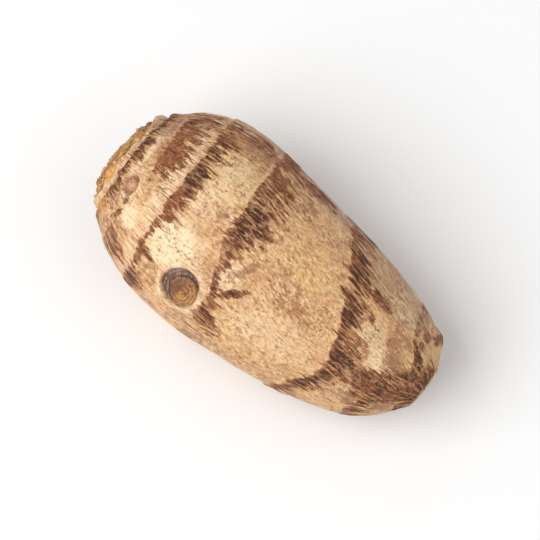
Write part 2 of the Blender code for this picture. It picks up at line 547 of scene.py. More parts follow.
def bud_fields():
    """What the buds add: height, cork on the dome, hollow beside it, painted shade in the groove, rims.

    The whorl is the distance in mm from the middle of the nearest dome, for the rings on it. The
    painted highlight on the domes goes from -1 on the side of the dome by the hollow to 1 on the far
    side, which is painted lighter; a young bud is also painted lighter in its middle.
    """
    height, cork, hollow, crease_shade, blush, pale_rim, glow = np.zeros((7, ROWS, COLUMNS))
    whorl = np.full((ROWS, COLUMNS), FAR)
    for number, (at, around, radius, dome, deep, ripe) in enumerate(BUDS):
        bud_distance = distance_from(at, around, BUD_GIRTH)
        reach = bud_distance / radius + 0.09 * lumps(3.0, 100 + number)
        aside = DOME_ASIDE * radius * ripe
        dome_distance = distance_from(at + aside / LENGTH, around + 0.74 * aside, BUD_GIRTH)
        dome_reach = dome_distance / (radius * DOME_SHARE) + 0.10 * lumps(2.4, 105 + number)
        inside = rise(1 - reach, 0.0, 0.12)
        knob = np.sqrt(np.clip(1 - dome_reach**2, 0, 1))
        on_dome = rise(1 - dome_reach, -0.04, 0.12) * inside
        groove = bell(dome_reach, 1.05, 0.11) * rise(1 - reach, -0.06, 0.1)
        height += 0.34 * bell(reach, 1.03, 0.12) - deep * inside * (1 - on_dome)
        height += (dome * knob - 0.3 * deep) * on_dome
        cork = np.maximum(cork, ripe * on_dome)
        hollow = np.maximum(hollow, ripe * inside * (1 - on_dome))
        # The groove round the dome is marked for painted shade.
        crease_shade = np.maximum(crease_shade, (0.8 + 0.2 * ripe) * groove)
        blush = np.maximum(blush, (1 - ripe) * inside)
        pale_rim = np.maximum(pale_rim, bell(reach, 1.14, 0.11))
        whorl = np.minimum(whorl, dome_distance)
        # A painted highlight: the dome is lighter on its side away from the hollow, and a young bud in
        # its middle.
        towards_hollow = (bud_distance - dome_distance) / (0.2 * radius)
        young = 3 * (1 - ripe) * (0.55 - dome_reach)
        glow += on_dome * np.clip(towards_hollow + young, -1, 1)
    near = np.clip(1 - (distance_from(NUB[0], NUB[1]) / NUB[2]) ** 2, 0, 1)
    height += NUB[3] * near * (1 + 0.25 * lumps(1.8, 115))
    return height, cork, hollow, crease_shade, blush, pale_rim, whorl, glow


bud_height, cork, hollow, crease_shade, blush, pale_rim, whorl, glow = bud_fields()
pale = np.maximum(pale, 0.7 * pale_rim)
lip = np.maximum(lip, 1.3 * pale_rim)

SCAR_RADIUS = 6.8  # mm
SCAR_MIDDLE = (1.0, -3.5)  # mm across and up, from the middle line


def base_scar():
    """The corky disc at the base end: a low torn rim round a rough floor that is sunk a little."""
    off_axis = np.hypot(egg[..., 1] - SCAR_MIDDLE[0], egg[..., 2] - SCAR_MIDDLE[1]) / SCAR_RADIUS
    at_base = rise(share, 0.8, 0.9)
    edge = off_axis + 0.10 * lumps(5.0, 110) + 0.06 * lumps(2.0, 111)
    rim = bell(edge, 1.0, 0.14) * at_base
    floor = rise(-edge, -0.95, -0.80) * at_base
    crack = bell(off_axis - 0.1 * lumps(6.0, 112), 0.55, 0.07) * rise(np.sin(angle + 0.6), 0.1, 0.6)
    rough = 0.25 * lumps(1.6, 113) + 0.18 * lumps(0.8, 114)
    return 0.45 * rim + floor * (-0.55 + rough - 0.8 * crack), floor, floor * crack


scar_height, scar, scar_crack = base_scar()
cork = np.maximum(cork, scar)
# The crack in the base scar is marked for painted shade too.
crease_shade = np.maximum(crease_shade, scar_crack)
clear = 1 - rise(np.maximum(np.maximum(cork, hollow), blush), 0.1, 0.6)
bark, stains, comb, lip = (field * clear for field in (bark, stains, comb, lip))
print("buds:", len(BUDS), "- highest, mm:", round(float(bud_height.max()), 2))

# %% [markdown]
# ## The relief of the skin
#
# What can be felt with a fingertip is in the mesh: slow lumps, the ledges of the rings, bark
# that stands a fifth of a millimetre proud, fibre ridges that run from crown to base, and the
# buds. One shoulder of the crown is about a millimetre fuller than the egg, and one side of the
# base end leaner. Finer grain is left to the material. The shape is then laid down as the solid
# lies: the crown lifted, the middle of the box over the origin, and the underside pressed flat.

# %% Raise the relief
RIBS = 150  # fine ribs round the whole corm, in the strips above the rings
grain_turn = angle + 0.02 * streaks(9.0, 30.0, 140)
bark_thick = rise(bark + 0.3 * streaks(1.4, 8.0, 120), 0.35, 0.75)
full_shoulder = rise(oval(0.20, -92, 46.0, 60.0), 0.0, 0.9)
lean_tip = rise(oval(0.97, 84, 34.0, 44.0), 0.0, 0.9)
relief = (  # mm
    1.1 * full_shoulder
    - 1.2 * lean_tip
    + 0.32 * lumps(16.0, 130)
    + 0.18 * lumps(6.5, 131)
    + 0.09 * lumps(2.6, 132)
    + 0.05 * lumps(1.3, 136)
    + 0.07 * streaks(1.6, 14.0, 133)
    + 0.05 * streaks(1.0, 6.0, 134)
    + ring_ledge
    + collar_height
    + bark_thick * (0.12 + 0.16 * streaks(1.6, 7.0, 135))
    + 0.07 * comb * np.cos(grain_turn * RIBS)
    + bud_height
    + scar_height
)
ends = rise(share, 0.0, 0.012) * rise(1 - share, 0.0, 0.012)
skin = egg + outward * (relief * ends)[..., None]


def lay_down(points, shift=(0.0, 0.0, 0.0)):
    """The points turned about Y so that the crown is lifted, then moved."""
    c, s = math.cos(REST_TILT), math.sin(REST_TILT)
    x, y, z = points[..., 0], points[..., 1], points[..., 2]
    return np.stack([c * x + s * z, y, c * z - s * x], axis=-1) + shift


lying = lay_down(egg)
lowest, highest = lying.min(axis=(0, 1)), lying.max(axis=(0, 1))
middle = (lowest + highest) / 2
placed = lay_down(skin, (-middle[0], -middle[1], -lowest[2] - REST_DEPTH))
PRESS = 0.25  # mm: how softly the underside meets the floor
placed[..., 2] = PRESS * np.logaddexp(0, placed[..., 2] / PRESS)
print("skin, mm:", np.round(np.ptp(placed.reshape(-1, 3), axis=0), 1))

# %% [markdown]
# ## The skin as a mesh
#
# The grid becomes quads, and a point at each end closes it. The fields worked out above go along
# as attributes of the points, so the material knows where bark, stain, cork and hollow are. The
# grain attribute is the same place as if the corm were a cylinder, in millimetres, for streaks in
# the material. The curled one says how far the bark is crushed, which grows towards the base.

# %% Make the skin


def smooth_mesh(name, points, quads, triangles):
    """A smooth mesh from arrays of points in millimetres, quads and triangles."""
    mesh = bpy.data.meshes.new(name)
    faces = quads.reshape(-1, 4).tolist() + triangles.reshape(-1, 3).tolist()
    mesh.from_pydata((points.reshape(-1, 3) / 1000).tolist(), [], faces)
    mesh.update()
    mesh.shade_smooth()
    return mesh


def store(mesh, name, values):
    """Puts a value on each point of a mesh: a number or, with three columns, a vector."""
    kind, key = ("FLOAT_VECTOR", "vector") if values.shape[-1] == 3 else ("FLOAT", "value")
    attribute = mesh.attributes.new(name, kind, "POINT")
    attribute.data.foreach_set(key, values.astype(np.float32).ravel())


def linked(name, data):
    """A new object with this data, in the scene."""
    thing = bpy.data.objects.new(name, data)
    bpy.context.scene.collection.objects.link(thing)
    return thing


def with_ends(field):
    """A field of the grid as one list, ended by the mean of the first row and of the last."""
    flat = field.reshape(ROWS * COLUMNS, -1)
    first, last = flat[:COLUMNS].mean(axis=0), flat[-COLUMNS:].mean(axis=0)
    return np.concatenate([flat, [first, last]])


def skin_faces():
    """Quads between neighbouring points of the grid, and a fan of triangles at each end."""
    index = np.arange(ROWS * COLUMNS).reshape(ROWS, COLUMNS)
    beside = np.roll(index, -1, axis=1)
    quads = np.stack([index[:-1], beside[:-1], beside[1:], index[1:]], axis=-1)
    first, last = np.full(COLUMNS, index.size), np.full(COLUMNS, index.size + 1)
    fans = np.stack([[beside[0], index[0], first], [index[-1], beside[-1], last]])
    return quads, fans.transpose(0, 2, 1)


skin_mesh = smooth_mesh("taro_skin", with_ends(placed), *skin_faces())
curled = np.broadcast_to(0.75 * rise(share, 0.74, 0.86), (ROWS, COLUMNS))
for name, field in (
    ("grain", grain), ("bark", bark), ("stain", stains), ("pale", pale), ("yellow", yellow),
    ("cork", cork), ("hollow", hollow), ("crease_shade", crease_shade), ("whorl", whorl), ("dark", dark),
    ("comb", comb), ("sheath", sheath), ("edge", collar_edge_highlight * sheath),
    ("groove", collar_groove_shade * sheath), ("lip", lip), ("grey_and_shade", grey_and_shade),
    ("blush", blush), ("glow", glow), ("curled", curled),
):
    store(skin_mesh, name, with_ends(field))
taro_skin = linked("taro_skin", skin_mesh)
print("triangles:", 2 * COLUMNS * ROWS)

# %% [markdown]
# ## The finish of the skin
#
# The real skin is dry and matt. From below upwards it is a buff ground that drifts between
# cream, yellow and tan, fine fibres that run along it, brown specks, thin tan stains, then the
# bark: dark brown in its thick middle, red-brown where it thins, with pale fibres showing
# between. A painted image would do for one view, but everything here is procedural: attributes
# say roughly where, and noise tears the edges, so they stay crisp however near one looks.

# %% Node helpers


def plain_colour(red, green, blue):
    """A colour given as 0 to 255 on a screen, as the linear values that a shader wants."""
    scaled = np.array([red, green, blue]) / 255
    linear = np.where(scaled <= 0.04045, scaled / 12.92, ((scaled + 0.055) / 1.055) ** 2.4)
    return (*linear.tolist(), 1.0)


class Recipe:
    """A material under construction: a method adds a node or a few, and gives back the output."""

    def __init__(self, name):
        self.material = bpy.data.materials.new(name)
        self.material.use_nodes = True
        self.nodes = self.material.node_tree.nodes
        self.links = self.material.node_tree.links
        self.shader = self.nodes["Principled BSDF"]

    def put(self, socket, value):
        """Links an output to a socket, or sets a number or colour on it."""
        if isinstance(value, bpy.types.NodeSocket):
            self.links.new(value, socket)
        else:
            socket.default_value = value

    def attribute(self, name, output="Fac"):
        node = self.nodes.new("ShaderNodeAttribute")
        node.attribute_name = name
        return node.outputs[output]

    def object_place(self):
        return self.nodes.new("ShaderNodeTexCoord").outputs["Object"]

    def scaled_place(self, place, sizes, turn=0.0):
        """The place in units of these sizes. Turn shifts it, so that like noises are unlike."""
        node = self.nodes.new("ShaderNodeMapping")
        self.put(node.inputs["Vector"], place)
        node.inputs["Scale"].default_value = tuple(1 / size for size in sizes)
        node.inputs["Location"].default_value = (turn, 2 * turn, 3 * turn)
        return node.outputs["Vector"]

    def noise(self, place, sizes, detail=2.0, roughness=0.5, turn=0.0):
        """Noise from 0 to 1 with lumps of these sizes, in the units of place."""
        node = self.nodes.new("ShaderNodeTexNoise")
        self.put(node.inputs["Vector"], self.scaled_place(place, sizes, turn))
        node.inputs["Scale"].default_value = 1.0
        node.inputs["Detail"].default_value = detail
        node.inputs["Roughness"].default_value = roughness
        return node.outputs["Fac"]

    def math(self, operation, a, b=0.0, c=0.0):
        node = self.nodes.new("ShaderNodeMath")
        node.operation = operation
        for socket, value in zip(node.inputs, (a, b, c)):
            self.put(socket, value)
        return node.outputs[0]

    def times(self, value, *factors):
        for factor in factors:
            value = self.math("MULTIPLY", value, factor)
        return value

    def plus(self, base, value, amount):
        """base + value * amount."""
        return self.math("MULTIPLY_ADD", value, amount, base)

    def torn(self, base, *noises):
        """The base with several noises added, each centred on zero and times its amount."""
        for value, amount in noises:
            base = self.plus(base, self.math("SUBTRACT", value, 0.5), amount)
        return base

    def slope(self, value, start, end, low=0.0, high=1.0):
        """Goes from low to high, eased, while value goes from start to end."""
        node = self.nodes.new("ShaderNodeMapRange")
        node.interpolation_type = "SMOOTHSTEP"
        for key, given in zip(("Value", "From Min", "From Max", "To Min", "To Max"),
                              (value, start, end, low, high)):
            self.put(node.inputs[key], given)
        return node.outputs["Result"]

    def mix(self, amount, under, over):
        node = self.nodes.new("ShaderNodeMix")
        node.data_type = "RGBA"
        self.put(node.inputs["Factor"], amount)
        self.put(node.inputs["A"], under)
        self.put(node.inputs["B"], over)
        return node.outputs["Result"]

    def paint(self, under, over, where, start, end, most=1.0, within=1.0):
        """One colour over another: none while where is at start, most of it at end, times within."""
        amount = self.slope(where, start, end, 0.0, most)
        if within != 1.0:
            amount = self.times(amount, within)
        return self.mix(amount, under, over)

    def paint_share(self, under, over, name, most):
        """One colour over another, as much as an attribute says, times most."""
        return self.mix(self.times(self.attribute(name), most), under, over)

    def ramp(self, value, stops):
        node = self.nodes.new("ShaderNodeValToRGB")
        self.put(node.inputs["Fac"], value)
        elements = node.color_ramp.elements
        while len(elements) < len(stops):
            elements.new(0.5)
        for element, (position, colour) in zip(elements, stops):
            element.position = position
            element.color = colour
        return node.outputs["Color"]

    def bump(self, height, distance):
        node = self.nodes.new("ShaderNodeBump")
        self.put(node.inputs["Height"], height)
        node.inputs["Distance"].default_value = distance
        return node.outputs["Normal"]


# %% [markdown]
# ## The noises of the skin
#
# The layers of the skin tear in the same places, so they share their noises. Spots are as long as
# they are wide. Fibres are drawn out along the grain, from crown to base. Near the base the old
# bark is crushed and curls, so there the strips give way to lumps. The bark also splits into long
# shreds: these are cells packed side by side on the grain, whose sides are moved about so that
# none of them is straight.

# %% Colours, and the noises they share
SAND = plain_colour(226, 176, 121)
BUFF = plain_colour(211, 158, 107)
TAN = plain_colour(184, 136, 97)
CREAM = plain_colour(253, 226, 182)
STRAW = plain_colour(226, 178, 112)
CREAM_YELLOW = plain_colour(250, 210, 138)
BLUSH = plain_colour(198, 140, 106)
PINK = plain_colour(226, 166, 132)
# Grey blotches, and painted shade on the side away from the key lamp.
GREY_AND_SHADE = plain_colour(166, 134, 108)
SCURF = plain_colour(152, 98, 65)
RUST = plain_colour(156, 90, 54)
BARK = plain_colour(106, 61, 40)
BARK_THICK = plain_colour(68, 38, 27)
OCHRE = plain_colour(200, 144, 82)
FLAP = plain_colour(158, 102, 56)
CORK_DARK = plain_colour(104, 66, 38)
CORK = plain_colour(144, 92, 48)
CORK_PALE = plain_colour(198, 140, 76)
# The hollow's dark is partly painted shade of the recess, and the pale one is for painted highlights on
# it.
HOLLOW = plain_colour(66, 41, 37)
HOLLOW_HIGHLIGHT = plain_colour(148, 114, 104)
# Painted shade, for the grooves round the domes and the crack in the base scar.
CREASE_SHADE = plain_colour(70, 43, 32)
MM = 0.001


class SkinRecipe(Recipe):
    """A recipe with the skin's two places: on the object, in metres, and on the grain, in millimetres."""

    def __init__(self, name):
        super().__init__(name)
        self.place = self.object_place()
        self.grain = self.attribute("grain", "Vector")
        self.curled = self.attribute("curled")

    def spots(self, size, detail=2.0, roughness=0.5, turn=0.0):
        """Noise whose lumps are this many millimetres across."""
        return self.noise(self.place, (size * MM,) * 3, detail, roughness, turn)

    def fibres(self, width, length, detail=2.0, turn=0.0, roughness=0.55):
        """Noise drawn out along the corm: millimetres across and millimetres long."""
        return self.noise(self.grain, (width, width, length), detail, roughness, turn)

    def curling(self, straight, curly):
        """The straight noise, and towards the base more and more of the curly one."""
        return self.plus(straight, self.math("SUBTRACT", curly, straight), self.curled)

    def wandering_grain(self, size, amount):
        """The grain moved about by coloured noise, four times as far along the corm as across it."""
        node = self.nodes.new("ShaderNodeTexNoise")
        self.put(node.inputs["Vector"], self.grain)
        node.inputs["Scale"].default_value = 1 / size
        centred = self.nodes.new("ShaderNodeVectorMath")
        centred.operation = "SUBTRACT"
        self.put(centred.inputs[0], node.outputs["Color"])
        centred.inputs[1].default_value = (0.5, 0.5, 0.5)
        moved = self.nodes.new("ShaderNodeVectorMath")
        moved.operation = "MULTIPLY_ADD"
        self.put(moved.inputs[0], centred.outputs[0])
        moved.inputs[1].default_value = (amount, amount, 4 * amount)
        self.put(moved.inputs[2], self.grain)
        return moved.outputs[0]

    def shreds(self, width, length):
        """Cells on the grain: two random numbers for each, and the distance to the nearest border."""
        place = self.scaled_place(self.wandering_grain(3.0, 0.9), (width, width, length))
        found = []
        for feature, output in (("F1", "Color"), ("DISTANCE_TO_EDGE", "Distance")):
            node = self.nodes.new("ShaderNodeTexVoronoi")
            node.feature = feature
            self.put(node.inputs["Vector"], place)
            node.inputs["Scale"].default_value = 1.0
            found.append(node.outputs[output])
        parts = self.nodes.new("ShaderNodeSeparateColor")
        self.put(parts.inputs["Color"], found[0])
        return parts.outputs["Red"], parts.outputs["Green"], found[1]


def skin_noises(r):
    """The noises and attributes that more than one layer uses."""
    n = SimpleNamespace()
    n.bark = r.attribute("bark")
    n.dark = r.attribute("dark")
    n.glow = r.attribute("glow")
    n.mottle = r.spots(2.6, 4.0, 0.7, 2.0)
    n.blot = r.spots(2.6, 3.0, 0.65, 17.0)
    n.crowd = r.slope(r.spots(7.0, 2.0, 0.5, 31.0), 0.42, 0.62, 0.15, 1.0)
    n.grit = r.fibres(0.8, 1.3, 4.0, 53.0, 0.75)
    n.gritty = r.times(
        r.slope(r.spots(8.0, 2.0, 0.6, 57.0), 0.42, 0.58, 0.50, 1.1),
        r.slope(r.attribute("pale"), 0.2, 1.0, 1.0, 0.35),
    )
    n.fine = r.fibres(0.7, 5.0, 3.0)
    n.hair = r.fibres(0.32, 2.4, 2.0, 5.0)
    n.rib = r.fibres(0.55, 9.0, 1.0, 9.0)
    n.speck = r.fibres(0.7, 1.0, 3.0, 3.0, 0.65)
    n.tear = r.fibres(1.4, 6.0, 3.0, 11.0)
    n.tear_fine = r.curling(r.fibres(0.55, 2.6, 4.0, 13.0), r.spots(1.5, 4.0, 0.7, 73.0))
    n.teeth = r.curling(r.fibres(1.3, 34.0, 2.0, 37.0), r.spots(3.4, 3.0, 0.6, 71.0))
    n.chance, n.tone, n.gap = r.shreds(1.7, 9.0)
    n.between = r.times(  # below zero in the gaps between shreds, where the bark has split
        r.slope(n.gap, 0.01, 0.20, -0.40, 0.06),
        r.slope(n.dark, 0.1, 0.6, 0.25, 1.0),
        r.slope(r.curled, 0.0, 0.75, 1.0, 0.25),
    )
    n.patch = r.times(r.math("SUBTRACT", r.spots(4.2, 3.0, 0.6, 77.0), 0.53), r.curled)
    return n


# %% [markdown]
# ## The ground and the papery crown
#
# The ground is the thin skin itself: slow drifts of tan, buff, sand and straw, mottled with pink
# and cream, with grit and fine fibres over it. Above some rings it shows fine pale ribs. At the
# crown it is the ochre paper of the leaf feet, with a pale painted highlight at its torn edges
# and dark brown painted shade in the grooves.

# %% The ground


def ground_colour(r, n):
    """Slow drifts, then the placed patches, mottle, grit and fibres."""
    drift = r.spots(12.0, 3.0, 0.6)
    skin = r.ramp(drift, ((0.32, TAN), (0.44, BUFF), (0.56, SAND), (0.72, STRAW)))
    skin = r.paint_share(skin, STRAW, "yellow", 0.75)
    skin = r.paint_share(skin, CREAM, "pale", 0.95)
    # Greyer where the grey ovals are: grey blotches, and painted shade on the side away from the key
    # lamp.
    skin = r.paint_share(skin, GREY_AND_SHADE, "grey_and_shade", 0.75)
    skin = r.paint(skin, BLUSH, n.mottle, 0.50, 0.68, 0.65)
    skin = r.paint(skin, CREAM, n.mottle, 0.50, 0.32, 0.4)
    skin = r.paint(skin, SCURF, n.grit, 0.50, 0.64, 0.80, n.gritty)
    skin = r.paint(skin, CREAM, n.grit, 0.49, 0.38, 0.70, n.gritty)
    skin = r.paint(skin, SCURF, n.fine, 0.54, 0.72, 0.45)
    return r.paint(skin, CREAM, n.hair, 0.54, 0.70, 0.30)


def papery_crown(r, n, skin):
    """The ribbed strips, the crown's paper with painted shade in its grooves and a painted highlight on
    its edges, and the youngest bud.
    """
    rib_colour = r.mix(r.attribute("yellow"), CREAM, CREAM_YELLOW)
    ribbed = r.paint(BLUSH, rib_colour, n.rib, 0.38, 0.60)
    skin = r.paint_share(skin, ribbed, "comb", 0.6)
    paper = r.paint(FLAP, OCHRE, n.fine, 0.40, 0.60)
    paper = r.paint(paper, RUST, n.mottle, 0.50, 0.64, 0.7)
    skin = r.paint_share(skin, paper, "sheath", 0.85)
    # Painted shade in the grooves in front of the collars' free edges.
    groove = r.torn(r.attribute("groove"), (n.fine, 1.2))
    skin = r.paint(skin, BARK, groove, 0.15, 0.75, 0.9)
    # A painted highlight on the collars' free edges.
    edge = r.torn(r.attribute("edge"), (n.mottle, 1.8))
    edge_highlight_colour = r.paint(OCHRE, CREAM_YELLOW, n.hair, 0.4, 0.6)
    skin = r.paint(skin, edge_highlight_colour, edge, 0.25, 0.95, 0.9)
    # The youngest bud: pink where its painted highlight is, brown elsewhere.
    bud_colour = r.paint(SCURF, PINK, n.glow, -0.8, 0.5)
    return r.paint_share(skin, bud_colour, "blush", 0.9)


def specks_over(r, n, skin):
    """Brown specks, dots and flecks, which keep to loose crowds."""
    skin = r.paint(skin, SCURF, n.speck, 0.56, 0.72, 0.75, n.crowd)
    dots = r.plus(r.spots(1.9, 4.0, 0.75, 7.0), r.math("SUBTRACT", n.crowd, 0.6), 0.05)
    skin = r.paint(skin, RUST, dots, 0.59, 0.70, 0.85)
    skin = r.paint(skin, BARK, dots, 0.70, 0.78, 0.7)
    fleck = r.fibres(1.0, 1.5, 2.0, 43.0, 0.5)
    return r.paint(skin, RUST, fleck, 0.62, 0.69, 0.75, n.crowd)


# %% [markdown]
# ## The bark
#
# Bark wears away in steps. The outermost is a thin brown scurf, then rust, then a dark crust
# where it is thickest. So each layer starts from the same attribute, and the thicker ones need
# more of it. The noises pull the edges into teeth that hang from the ring lines. Over the crust
# lie pale threads, the gaps between shreds and, near the base, curled lines.

# %% Scurf and bark


def scurf_over(r, n, skin):
    """The thin under-bark: tan stains, and a margin round the bark."""
    stain = r.torn(
        r.attribute("stain"), (n.blot, 2.2), (n.tear, 1.4), (n.tear_fine, 1.2), (n.grit, 1.6)
    )
    skin = r.paint(skin, SCURF, stain, 0.30, 1.05, 0.70)
    margin = r.torn(n.bark, (n.blot, 1.6), (n.teeth, 1.3), (n.tear, 0.9), (n.tear_fine, 1.2))
    margin = r.plus(margin, n.between, 0.2)
    margin = r.plus(margin, n.patch, 1.6)
    thin_bark = r.paint(RUST, SCURF, n.dark, 0.1, 0.6)
    return r.paint(skin, thin_bark, margin, 0.28, 0.74, 0.80)


def bark_over(r, n, skin):
    """Rust where the bark is thin, dark where it is thick. Gives the colour, and where bark is."""
    rag = r.torn(
        r.plus(n.between, n.bark, 0.88),
        (n.chance, 0.30), (n.teeth, 0.9), (n.tear, 0.7), (n.tear_fine, 1.7), (n.blot, 1.1),
    )
    rag = r.plus(rag, n.patch, 2.6)
    rag = r.math("MINIMUM", rag, r.times(n.bark, 1.6))
    cover = r.slope(rag, 0.43, 0.60)
    skin = r.mix(r.times(cover, 0.82), skin, RUST)
    thick = r.torn(rag, (n.tone, 0.20))
    thick = r.plus(thick, r.math("SUBTRACT", n.dark, 0.6), 0.75)
    skin = r.paint(skin, BARK, thick, 0.54, 0.76, 0.94)
    return r.paint(skin, BARK_THICK, thick, 0.76, 1.02, 0.92), cover


def bark_detail(r, n, skin, cover):
    """Threads, gaps between shreds, curled lines and grit, then the pale lip above each ring."""
    thread = r.fibres(0.34, 6.0, 2.0, 41.0)
    skin = r.paint(skin, SCURF, thread, 0.56, 0.67, 0.5, cover)
    gaps = r.times(
        r.slope(n.gap, 0.02, 0.11, 1.0, 0.0),
        r.slope(n.bark, 0.25, 0.7),
        r.slope(n.dark, 0.3, 0.6, 0.1, 1.0),
        r.slope(n.blot, 0.40, 0.56, 0.0, 0.30),
    )
    skin = r.mix(gaps, skin, SAND)
    curl = r.math("SINE", r.times(r.spots(5.5, 1.5, 0.5, 61.0), 70.0))
    curl = r.times(
        r.slope(curl, 0.35, 0.95), r.slope(n.blot, 0.42, 0.56), r.curled, r.slope(n.bark, 0.2, 0.6)
    )
    skin = r.mix(curl, skin, TAN)
    skin = r.paint(skin, SAND, n.grit, 0.46, 0.34, 0.50, n.gritty)
    skin = r.paint(skin, BARK_THICK, n.grit, 0.50, 0.62, 0.70, cover)
    lip_colour = r.paint(CREAM, BLUSH, n.tear_fine, 0.4, 0.6)
    return r.paint_share(skin, lip_colour, "lip", 0.5)


# %% [markdown]
# ## Cork, and all the layers together
#
# A bud scar is filled with crumbly cork in faint rings, with a painted highlight on the side away
# from its hollow. The hollow is dark purple-brown, partly painted shade of the recess, with pale
# flecks of painted highlight, and the groove round the dome is darker still, with painted shade.
# Last comes a bump for what is too small for the mesh.

# %% The skin's material


def cork_over(r, n, skin):
    """Cork, hollows and grooves. Gives the colour, and the grain of the cork."""
    crumbs = r.spots(0.9, 3.0, 0.7, 23.0)
    rings = r.math("SINE", r.plus(r.times(n.blot, 9.0), r.attribute("whorl"), 5.6))
    # Fuller rings and paler cork on the dome's side away from the hollow: a painted highlight.
    corky = r.plus(crumbs, rings, r.slope(n.glow, -0.4, 0.6, 0.03, 0.14))
    corky = r.torn(r.plus(corky, n.glow, 0.14), (n.blot, 0.8))
    cork_colour = r.ramp(corky, ((0.38, CORK_DARK), (0.54, CORK), (0.76, CORK_PALE)))
    skin = r.paint_share(skin, cork_colour, "cork", 0.92)
    # Pale flecks in the hollow are painted highlights, and its dark is partly painted shade.
    highlight_flecks = r.plus(r.plus(r.times(n.blot, 0.5), crumbs, 0.5), rings, 0.05)
    hollow_colour = r.paint(HOLLOW, HOLLOW_HIGHLIGHT, highlight_flecks, 0.45, 0.57)
    skin = r.paint_share(skin, hollow_colour, "hollow", 0.88)
    # Darker in the groove round each dome and in the crack of the base scar: painted shade.
    crease_shade = r.torn(r.attribute("crease_shade"), (n.blot, 1.4))
    return r.paint(skin, CREASE_SHADE, crease_shade, 0.35, 0.95, 0.85), corky


def skin_bump(r, n, cover, corky):
    """Fibres, bark, mottle, specks, ribs and the crumbs of the cork, as one small relief."""
    height = r.times(n.fine, 0.6)
    for value, amount in (
        (n.hair, 0.6),
        (cover, 0.7),
        (n.mottle, 1.6),
        (r.slope(n.speck, 0.57, 0.75), -0.5),
        (r.times(n.rib, r.attribute("comb")), 0.8),
        (r.times(corky, r.attribute("cork")), 1.8),
    ):
        height = r.plus(height, value, amount)
    return r.bump(height, 0.42 * MM)


def skin_finish():
    """The layers of the skin, one over the other."""
    r = SkinRecipe("taro_skin")
    n = skin_noises(r)
    skin = specks_over(r, n, papery_crown(r, n, ground_colour(r, n)))
    skin, cover = bark_over(r, n, scurf_over(r, n, skin))
    skin, corky = cork_over(r, n, bark_detail(r, n, skin, cover))
    r.put(r.shader.inputs["Base Color"], skin)
    r.put(r.shader.inputs["Roughness"], r.slope(cover, 0.0, 1.0, 0.55, 0.82))
    r.shader.inputs["Specular IOR Level"].default_value = 0.4
    r.put(r.shader.inputs["Normal"], skin_bump(r, n, cover, corky))
    return r.material


skin_mesh.materials.append(skin_finish())
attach(taro_skin, "root")
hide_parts("taro_corm")
print("materials:", [material.name for material in bpy.data.materials])

# %% [markdown]
# ## Dry shreds that stand off the skin
#
# Two kinds of dry scrap are not part of the smooth surface. Fibres of old bark lie over the
# bands and lift a little where they have come loose. At the crown, papery scraps of leaf foot
# stand over the collars, torn at the free end. Each is a thin closed blade that follows the
# skin: its points are found on the finished skin and lifted. All of one kind are made in one go,
# as whole arrays.

# %% Shreds
skin_out = normals_of(placed)
skin_out *= np.sign((skin_out * outward).sum())


def on_skin(out, around, lift):
    """Points of the finished skin: mm out from the crown, angle round, mm lifted off it."""
    row = np.clip(np.interp(out, arc[:, 0], np.arange(ROWS)), 0, ROWS - 1.001)
    column = around / math.tau * COLUMNS
    low_row, low_column = np.floor(row).astype(int), np.floor(column).astype(int)
    down, across = (row - low_row)[..., None], (column - low_column)[..., None]
    left, right = low_column % COLUMNS, (low_column + 1) % COLUMNS

    def blend(field):
        upper = field[low_row, left] * (1 - across) + field[low_row, right] * across
        lower = field[low_row + 1, left] * (1 - across) + field[low_row + 1, right] * across
        return upper * (1 - down) + lower * down

    return blend(placed) + blend(skin_out) * lift[..., None]


def blade_faces(index):
    """Quads round each blade and a fan of triangles at each end, whose tips are numbered last."""
    beside = np.roll(index, -1, axis=2)
    quads = np.stack([index[:, :-1], index[:, 1:], beside[:, 1:], beside[:, :-1]], axis=-1)
    tip = index.size + np.arange(2 * len(index)).reshape(-1, 2, 1) + 0 * index[:, :2]
    fan_first = np.stack([index[:, 0], beside[:, 0], tip[:, 0]], axis=-1)
    fan_last = np.stack([beside[:, -1], index[:, -1], tip[:, 1]], axis=-1)
    return quads, np.concatenate([fan_first, fan_last])


def with_tips(values):
    """Values of the blades' points as one list, ended by the mean of each blade's two ends."""
    tips = np.stack([values[:, 0].mean(axis=1), values[:, -1].mean(axis=1)], axis=1)
    return np.concatenate([values.reshape(-1, 3), tips.reshape(-1, 3)])


def blades(name, out, around, lift, half_width, half_thick, tone, corners, ragged=0.0):
    """Thin closed blades along the skin. A table has a row for each blade, a column for each step.

    Round a blade, angle a gives the point half_width * cos(a) sideways and half_thick * sin(a)
    up. The first end of a ragged blade is torn: two sines of the angle round the corm shift it
    along, and that shift fades to nothing at the last end.
    """
    a = np.arange(corners) / corners * math.tau
    radius = np.interp(out, arc[:, 0], middle_line[:, 1])[..., None]
    sideways = around[..., None] + half_width[..., None] * np.cos(a) / radius
    free = np.linspace(1, 0, out.shape[1])[None, :, None]
    torn = ragged * free * (np.sin(29 * sideways) + 0.7 * np.sin(67 * sideways + 1.0))
    strands = np.stack([14 * sideways, out[..., None] + torn, 0 * sideways], axis=-1)
    lifted = lift[..., None] + half_thick[..., None] * np.sin(a)
    points = on_skin(strands[..., 1], sideways, lifted)
    index = np.arange(sideways.size).reshape(sideways.shape)
    mesh = smooth_mesh(name, with_tips(points), *blade_faces(index))
    store(mesh, "tone", np.append(np.repeat(tone, index[0].size), np.repeat(tone, 2))[:, None])
    store(mesh, "strand", with_tips(strands))
    return linked(name, mesh)


